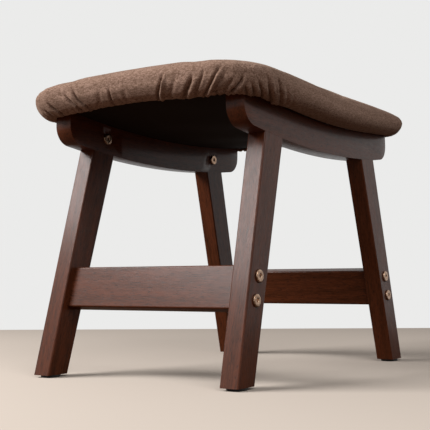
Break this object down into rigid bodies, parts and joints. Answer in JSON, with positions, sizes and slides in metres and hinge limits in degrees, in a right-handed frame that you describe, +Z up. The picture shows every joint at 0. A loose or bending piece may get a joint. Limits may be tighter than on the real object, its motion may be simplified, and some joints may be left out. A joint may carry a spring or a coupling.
{
  "type": "padded wooden footstool",
  "caption": "Low wooden footstool with a padded saddle seat on curved side rails, splayed legs, side stretchers and round plastic glides.",
  "frame": {"origin": "on the floor under the middle of the seat", "axes": "+X along the side rails, the seat's long way; +Y across the rails towards the rear; +Z up"},
  "size_m": [0.476, 0.344, 0.3709],
  "materials": {
    "walnut_stained_wood": "dark walnut stain under satin lacquer",
    "plywood": "raw bent plywood",
    "foam": "cut polyurethane foam",
    "cover_fabric": "brown heathered wool-look weave",
    "dust_cloth": "black-brown non-woven cloth",
    "antique_bronze": "antique bronze plating",
    "insert_brass": "plain turned brass",
    "black_steel": "black oxide",
    "zinc_steel": "zinc plated",
    "glide_plastic": "moulded black plastic"
  },
  "bodies": {
    "root": {"front_rail": "walnut_stained_wood", "rear_rail": "walnut_stained_wood", "leg_front_left": "walnut_stained_wood", "leg_front_right": "walnut_stained_wood", "leg_rear_left": "walnut_stained_wood", "leg_rear_right": "walnut_stained_wood", "left_stretcher": "walnut_stained_wood", "right_stretcher": "walnut_stained_wood", "seat_board": "plywood", "seat_foam": "foam", "seat_cover": "cover_fabric", "bottom_cloth": "dust_cloth", "cloth_staples": "black_steel", "stretcher_bolts_front_left": "antique_bronze", "stretcher_bolts_front_right": "antique_bronze", "stretcher_bolts_rear_left": "antique_bronze", "stretcher_bolts_rear_right": "antique_bronze", "stretcher_inserts_left": "insert_brass", "stretcher_inserts_right": "insert_brass", "rail_bolts_front": "antique_bronze", "rail_bolts_rear": "antique_bronze", "rail_inserts_front": "insert_brass", "rail_inserts_rear": "insert_brass", "seat_bolts_front": "black_steel", "seat_bolts_rear": "black_steel", "seat_inserts_front": "insert_brass", "seat_inserts_rear": "insert_brass", "glide_front_left": "glide_plastic", "glide_front_right": "glide_plastic", "glide_rear_left": "glide_plastic", "glide_rear_right": "glide_plastic", "glide_nails": "zinc_steel"}
  },
  "joints": []
}
